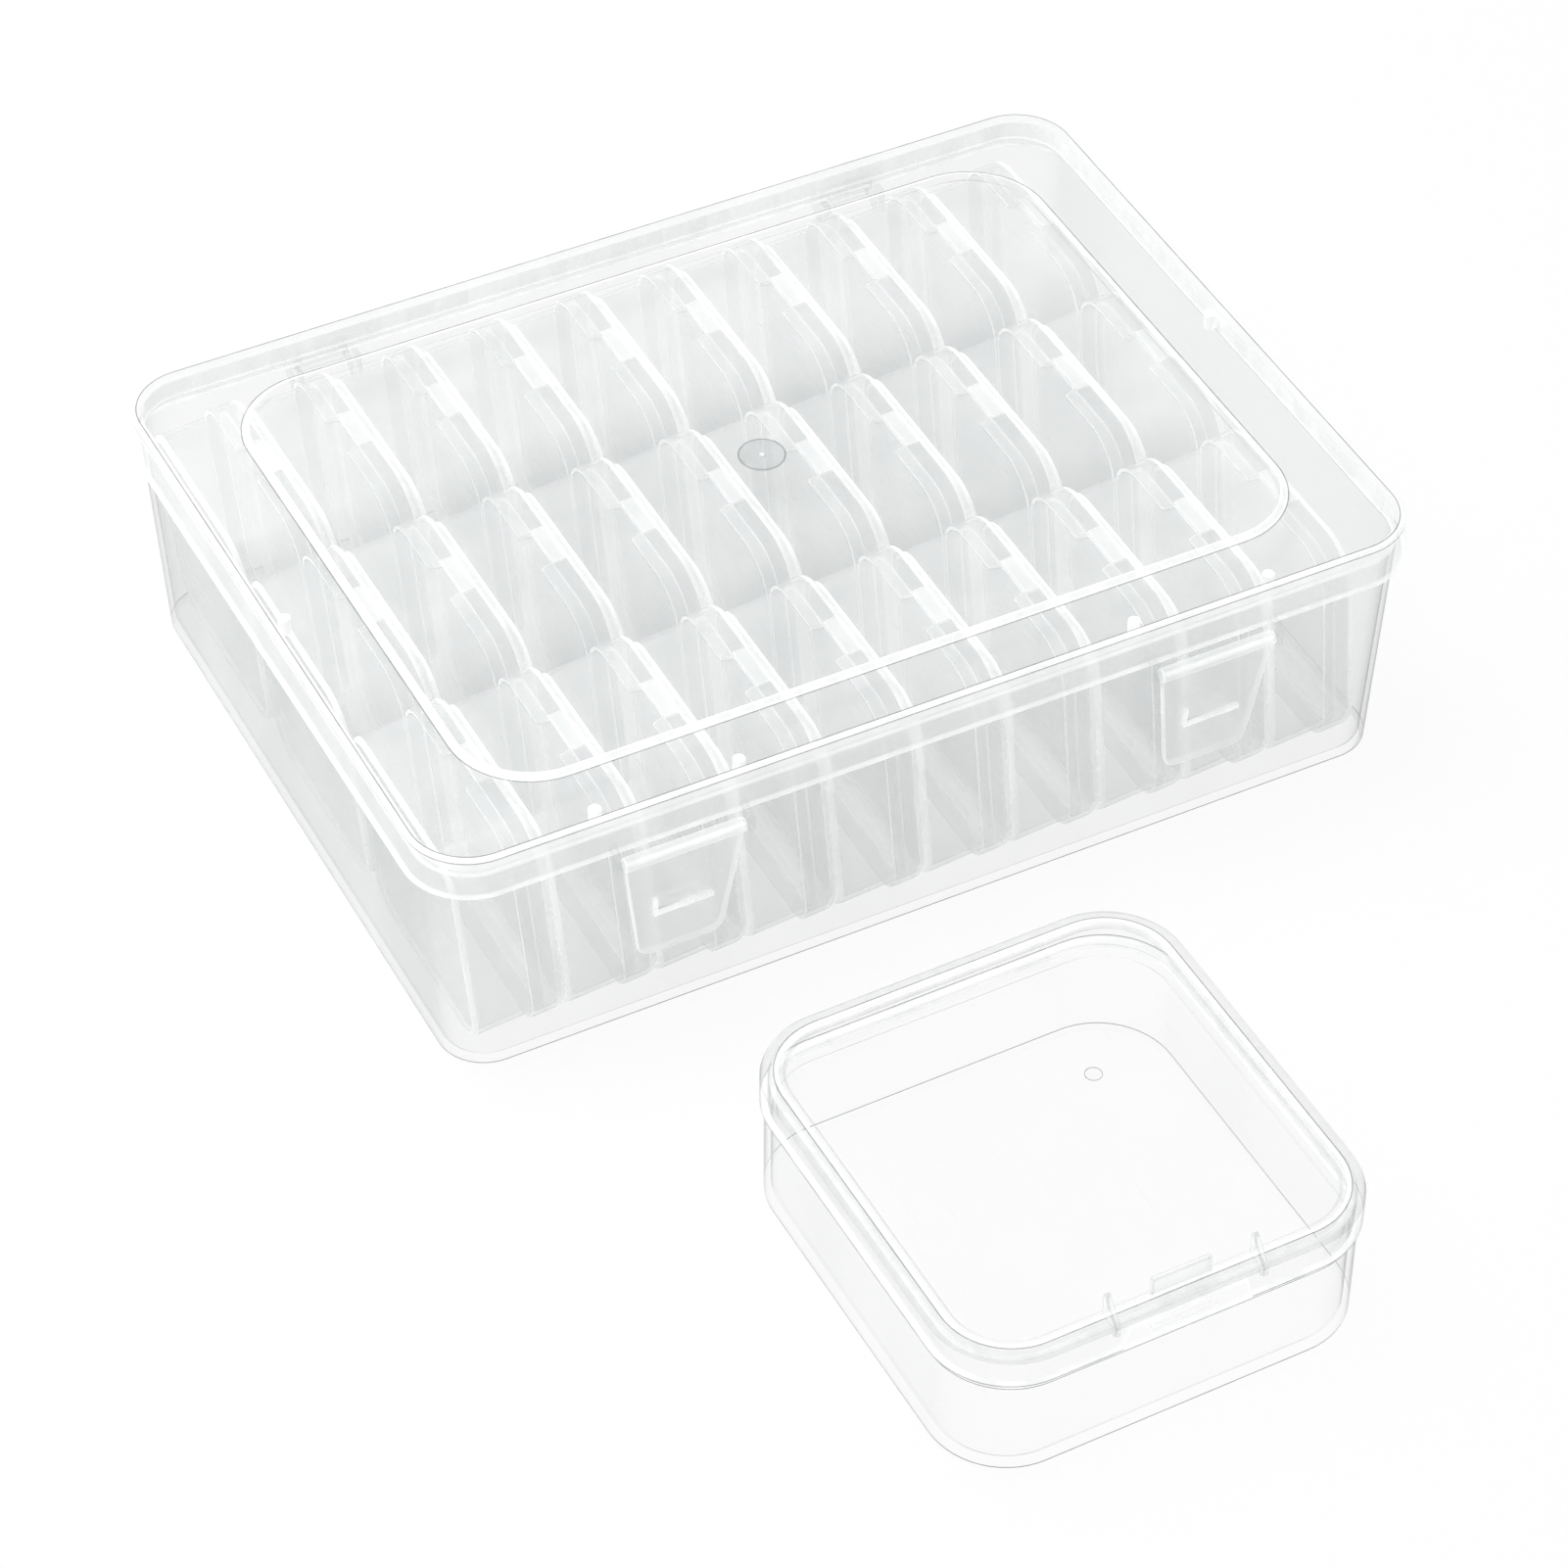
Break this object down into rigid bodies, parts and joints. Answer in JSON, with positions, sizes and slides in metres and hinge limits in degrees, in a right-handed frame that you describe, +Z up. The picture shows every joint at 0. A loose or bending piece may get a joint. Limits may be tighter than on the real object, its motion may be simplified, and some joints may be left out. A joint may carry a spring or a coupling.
{
  "type": "bead storage box",
  "caption": "Clear rectangular storage case with a hinged lid and two front latches, holding rows of small lidded boxes on edge, with a larger lidded box beside it.",
  "frame": {"origin": "middle of the case's underside, on the surface that it stands on", "axes": "+Z up, +X along the case's long side, -Y towards the latches and the larger box"},
  "size_m": [0.2308, 0.3122, 0.0633],
  "materials": {
    "case_plastic": "clear, polished",
    "latch_plastic": "clear, polished",
    "cell_plastic": "clear, slightly frosted",
    "large_plastic": "clear, polished"
  },
  "bodies": {
    "case": {"case_base": "case_plastic", "cell_r1_c01_base": "cell_plastic", "cell_r1_c02_base": "cell_plastic", "cell_r1_c03_base": "cell_plastic", "cell_r1_c04_base": "cell_plastic", "cell_r1_c05_base": "cell_plastic", "cell_r1_c06_base": "cell_plastic", "cell_r1_c07_base": "cell_plastic", "cell_r1_c08_base": "cell_plastic", "cell_r2_c01_base": "cell_plastic", "cell_r2_c02_base": "cell_plastic", "cell_r2_c03_base": "cell_plastic", "cell_r2_c04_base": "cell_plastic", "cell_r2_c05_base": "cell_plastic", "cell_r2_c06_base": "cell_plastic", "cell_r2_c07_base": "cell_plastic", "cell_r2_c08_base": "cell_plastic", "cell_r3_c01_base": "cell_plastic", "cell_r3_c02_base": "cell_plastic", "cell_r3_c03_base": "cell_plastic", "cell_r3_c04_base": "cell_plastic", "cell_r3_c05_base": "cell_plastic", "cell_r3_c06_base": "cell_plastic", "cell_r3_c07_base": "cell_plastic", "cell_r3_c08_base": "cell_plastic", "cell_r1_c01_lid": "cell_plastic", "cell_r1_c02_lid": "cell_plastic", "cell_r1_c03_lid": "cell_plastic", "cell_r1_c04_lid": "cell_plastic", "cell_r1_c05_lid": "cell_plastic", "cell_r1_c06_lid": "cell_plastic", "cell_r1_c07_lid": "cell_plastic", "cell_r1_c08_lid": "cell_plastic", "cell_r2_c01_lid": "cell_plastic", "cell_r2_c02_lid": "cell_plastic", "cell_r2_c03_lid": "cell_plastic", "cell_r2_c04_lid": "cell_plastic", "cell_r2_c05_lid": "cell_plastic", "cell_r2_c06_lid": "cell_plastic", "cell_r2_c07_lid": "cell_plastic", "cell_r2_c08_lid": "cell_plastic", "cell_r3_c01_lid": "cell_plastic", "cell_r3_c02_lid": "cell_plastic", "cell_r3_c03_lid": "cell_plastic", "cell_r3_c04_lid": "cell_plastic", "cell_r3_c05_lid": "cell_plastic", "cell_r3_c06_lid": "cell_plastic", "cell_r3_c07_lid": "cell_plastic", "cell_r3_c08_lid": "cell_plastic", "cell_r1_c09_box": "cell_plastic", "cell_r1_c10_box": "cell_plastic", "cell_r2_c09_box": "cell_plastic", "cell_r2_c10_box": "cell_plastic", "cell_r3_c09_box": "cell_plastic", "cell_r3_c10_box": "cell_plastic"},
    "case_lid": {"case_lid": "case_plastic"},
    "latch_left": {"latch_left": "latch_plastic"},
    "latch_right": {"latch_right": "latch_plastic"},
    "large_base": {"large_base": "large_plastic"},
    "large_lid": {"large_lid": "large_plastic"}
  },
  "joints": [
    {"name": "case_lid_hinge", "type": "hinge", "parent": "case", "child": "case_lid", "pos_m": [0, 0.0867, 0.0502], "axis": [-1, 0, 0], "range_deg": [0, 105]},
    {"name": "latch_left_hinge", "type": "hinge", "parent": "case_lid", "child": "latch_left", "pos_m": [-0.0615, -0.087, 0.051], "axis": [-1, 0, 0], "range_deg": [0, 65]},
    {"name": "latch_right_hinge", "type": "hinge", "parent": "case_lid", "child": "latch_right", "pos_m": [0.0615, -0.087, 0.051], "axis": [-1, 0, 0], "range_deg": [0, 65]},
    {"name": "large_box_lift", "type": "slide", "parent": "case", "child": "large_base", "axis": [0, 0, 1], "range_m": [0, 0.05]},
    {"name": "large_lid_hinge", "type": "hinge", "parent": "large_base", "child": "large_lid", "pos_m": [-0.02401, -0.12431, 0.0259], "axis": [-0.9999, -0.0144, 0], "range_deg": [0, 90]}
  ]
}
